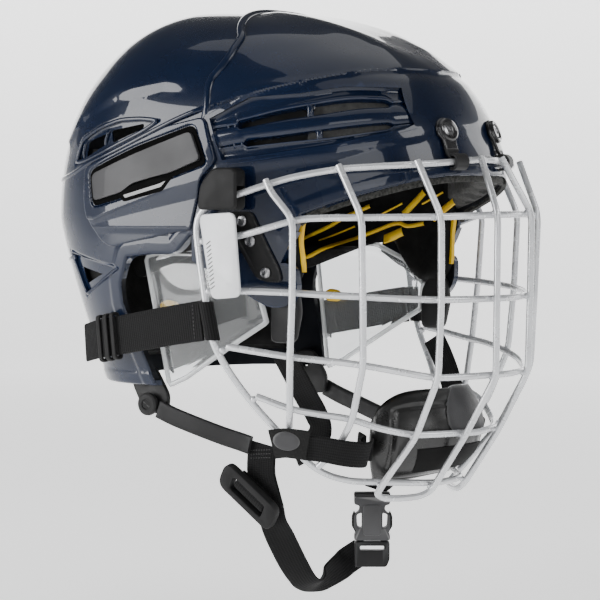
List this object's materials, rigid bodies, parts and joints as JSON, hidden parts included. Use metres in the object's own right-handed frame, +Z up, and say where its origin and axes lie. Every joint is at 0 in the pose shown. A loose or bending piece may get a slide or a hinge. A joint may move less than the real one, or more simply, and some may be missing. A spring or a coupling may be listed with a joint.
{
  "type": "ice hockey helmet with wire face cage",
  "caption": "Two-piece hard helmet with padded lining, hinged wire face cage, chin cup and buckled strap harness.",
  "frame": {"origin": "the middle of the head space, in the helmet's mid-plane, level with the wearer's eyes' lower edge", "axes": "+Z up, -Y the way the wearer faces, +X the wearer's left"},
  "size_m": [0.2252, 0.2849, 0.3362],
  "materials": {
    "navy_shell": "gloss moulded plastic",
    "black_plastic": "satin moulded plastic",
    "grey_plastic": "satin moulded plastic",
    "cage_wire": "gloss powder-coated steel wire",
    "white_label": "satin plastic plate",
    "clear_plastic": "clear polycarbonate",
    "black_foam": "matt closed-cell foam",
    "yellow_foam": "matt closed-cell foam",
    "webbing": "woven polyester webbing",
    "screw_steel": "plated steel"
  },
  "bodies": {
    "helmet": {"front_shell": "navy_shell", "brow_pad": "black_foam", "crown_liner_front": "black_foam", "left_temple_pad": "yellow_foam", "right_temple_pad": "yellow_foam", "left_ear_guard": "clear_plastic", "right_ear_guard": "clear_plastic", "left_strap_hanger": "black_plastic", "right_strap_hanger": "black_plastic", "left_side_clip": "black_plastic", "right_side_clip": "black_plastic", "left_clip_bracket": "black_plastic", "right_clip_bracket": "black_plastic", "left_forehead_clip": "black_plastic", "right_forehead_clip": "black_plastic", "left_forehead_screw": "screw_steel", "right_forehead_screw": "screw_steel", "left_front_strap": "webbing", "right_front_strap": "webbing", "strap_junction": "webbing", "strap_adjuster": "black_plastic", "buckle_strap": "webbing", "buckle_socket": "black_plastic"},
    "rear": {"rear_shell": "navy_shell", "crown_liner_rear": "black_foam", "occipital_pad": "yellow_foam", "left_adjuster_arm": "navy_shell", "right_adjuster_arm": "navy_shell", "left_rear_strap_clip": "black_plastic", "right_rear_strap_clip": "black_plastic", "left_strap_pivot": "black_plastic", "right_strap_pivot": "black_plastic", "left_rear_strap_sleeve": "black_plastic", "right_rear_strap_sleeve": "black_plastic"},
    "left_lever": {"left_adjuster_lever": "grey_plastic"},
    "right_lever": {"right_adjuster_lever": "grey_plastic"},
    "cage": {"cage_rim": "cage_wire", "cage_bar_upper": "cage_wire", "cage_bar_middle": "cage_wire", "cage_bar_lower": "cage_wire", "cage_bar_chin": "cage_wire", "left_upright_outer": "cage_wire", "right_upright_outer": "cage_wire", "left_upright_middle": "cage_wire", "right_upright_middle": "cage_wire", "left_upright_loop": "cage_wire", "right_upright_loop": "cage_wire", "left_wire_cover": "white_label", "right_wire_cover": "white_label", "chin_cup": "black_foam", "left_chin_cup_strap": "webbing", "right_chin_cup_strap": "webbing", "left_snap_button": "grey_plastic", "right_snap_button": "grey_plastic"},
    "left_side_strap": {"left_elastic_strap": "webbing", "left_strap_slider": "black_plastic"},
    "right_side_strap": {"right_elastic_strap": "webbing", "right_strap_slider": "black_plastic"},
    "lower_buckle": {"buckle_plug": "black_plastic", "lower_strap": "webbing"}
  },
  "joints": [
    {"name": "cage_hinge", "type": "hinge", "parent": "helmet", "child": "cage", "pos_m": [0, -0.1216, 0.0803], "axis": [-1, 0, 0], "range_deg": [0, 45]},
    {"name": "rear_shell_slide", "type": "slide", "parent": "helmet", "child": "rear", "axis": [0, 1, 0], "range_m": [0, 0.01]},
    {"name": "left_lever_hinge", "type": "hinge", "parent": "rear", "child": "left_lever", "pos_m": [0.1045, 0.038, 0.0888], "axis": [0, -0.9442, 0.3293], "range_deg": [0, 60]},
    {"name": "right_lever_hinge", "type": "hinge", "parent": "rear", "child": "right_lever", "pos_m": [-0.1045, 0.038, 0.0888], "axis": [0, 0.9442, -0.3293], "range_deg": [0, 60]},
    {"name": "left_side_strap_swing", "type": "hinge", "parent": "cage", "child": "left_side_strap", "pos_m": [0.108, -0.0125, -0.0068], "axis": [0, 0, -1], "range_deg": [0, 80]},
    {"name": "right_side_strap_swing", "type": "hinge", "parent": "cage", "child": "right_side_strap", "pos_m": [-0.108, -0.0125, -0.0068], "axis": [0, 0, 1], "range_deg": [0, 80]},
    {"name": "buckle_release", "type": "slide", "parent": "helmet", "child": "lower_buckle", "axis": [0, 0, -1], "range_m": [0, 0.022]}
  ]
}
